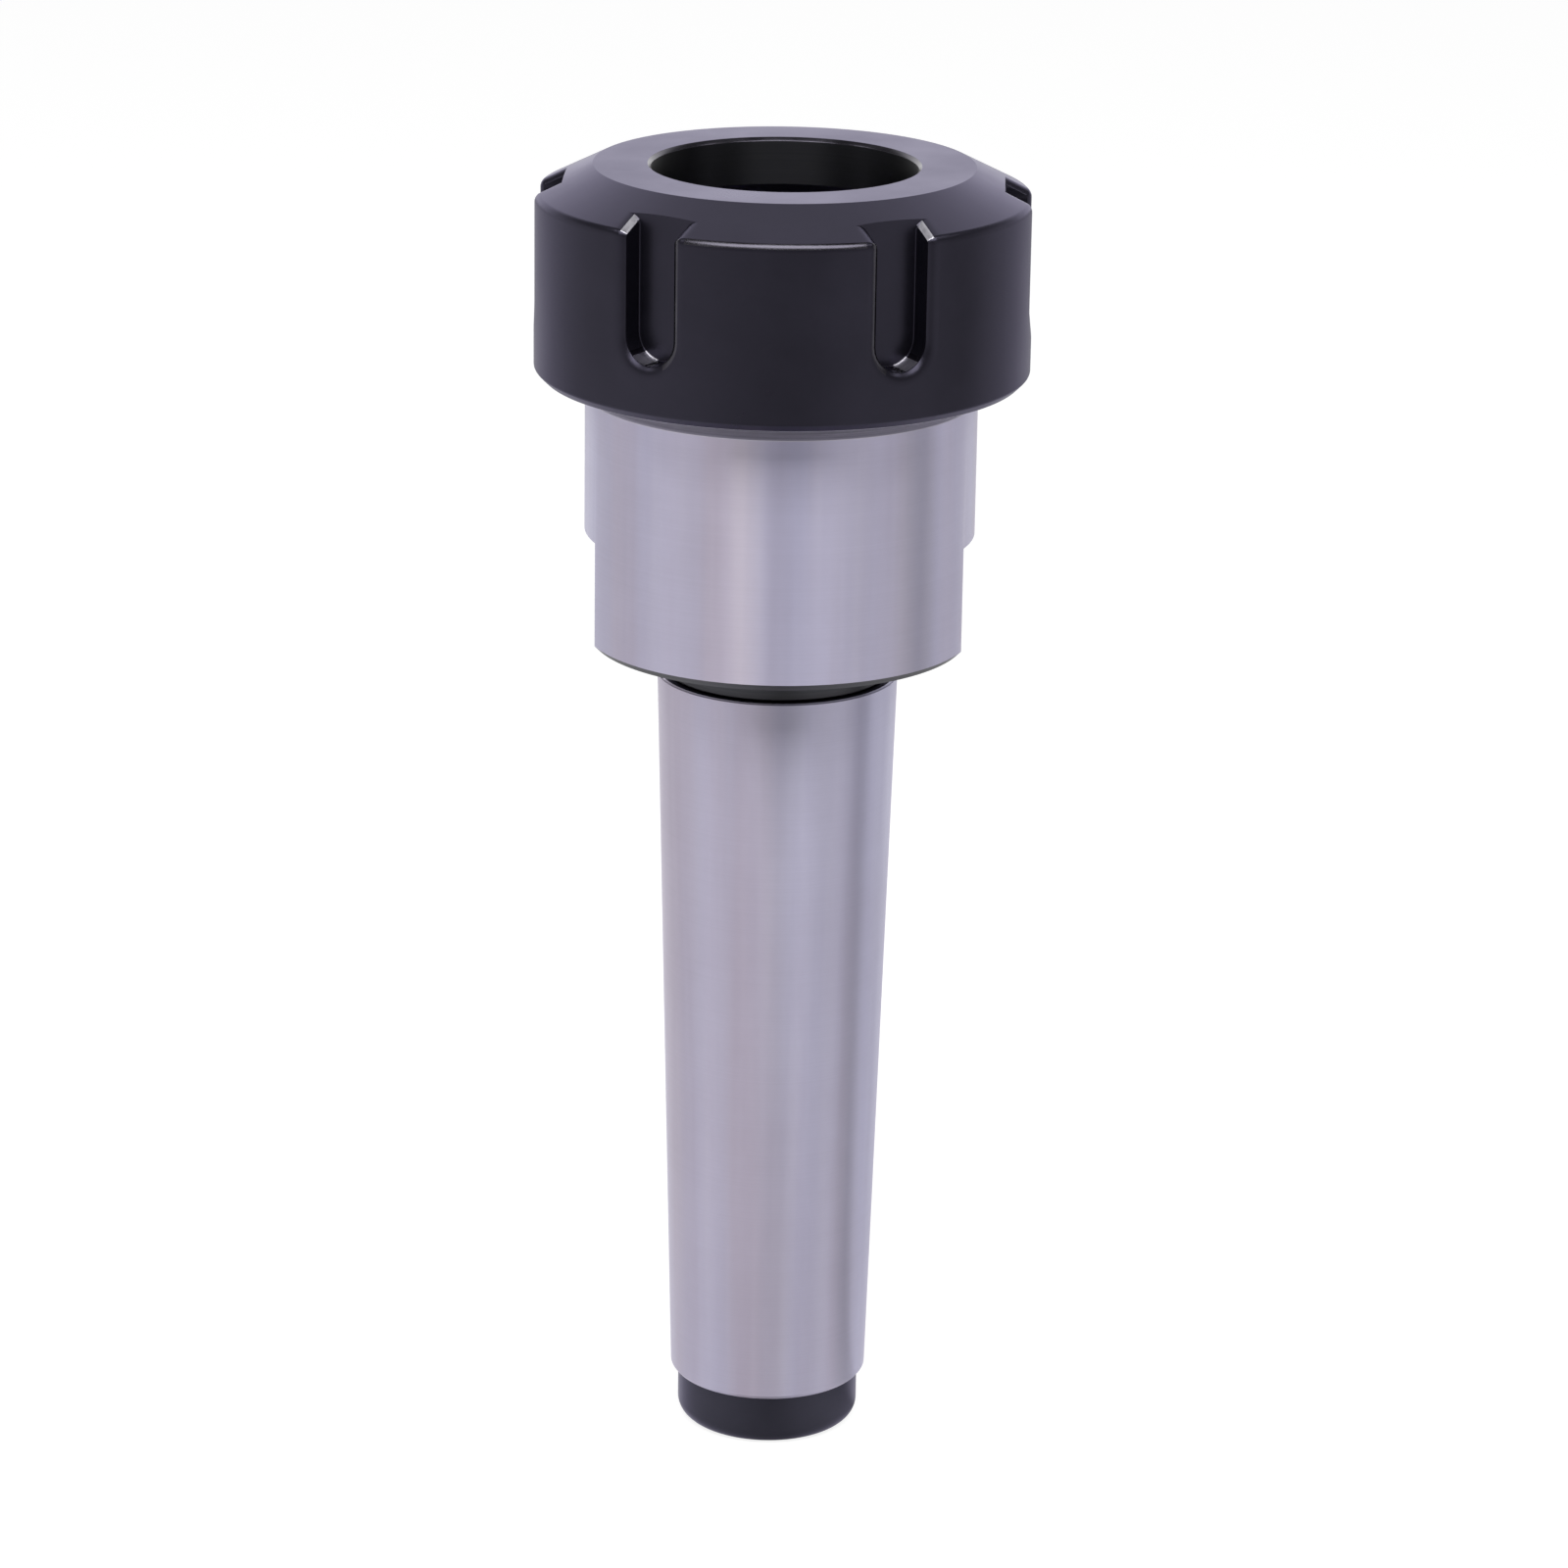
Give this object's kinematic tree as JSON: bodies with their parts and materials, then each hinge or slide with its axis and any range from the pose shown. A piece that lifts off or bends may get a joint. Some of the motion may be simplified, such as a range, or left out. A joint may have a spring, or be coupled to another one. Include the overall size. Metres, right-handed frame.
{
  "type": "collet chuck holder",
  "caption": "Collet chuck holder with a ground taper shank, a round head with two wrench flats and a slotted black clamping nut.",
  "frame": {"origin": "centre of the flat tail face, which the part stands on", "axes": "+Z along the axis of the taper and the nut, from the tail to the nut's front; the wrench flats face +X and -X"},
  "size_m": [0.063, 0.063, 0.1706],
  "materials": {
    "ground_steel": "hardened steel, ground, with black tail and neck",
    "black_oxide": "hardened steel, satin black oxide"
  },
  "bodies": {
    "chuck": {"chuck_body": "ground_steel"},
    "nut": {"clamping_nut": "black_oxide"}
  },
  "joints": [
    {"name": "nut_turn", "type": "hinge", "parent": "chuck", "child": "nut", "pos_m": [0, 0, 0.157], "axis": [0, 0, 1], "range_deg": [0, 2160]}
  ]
}
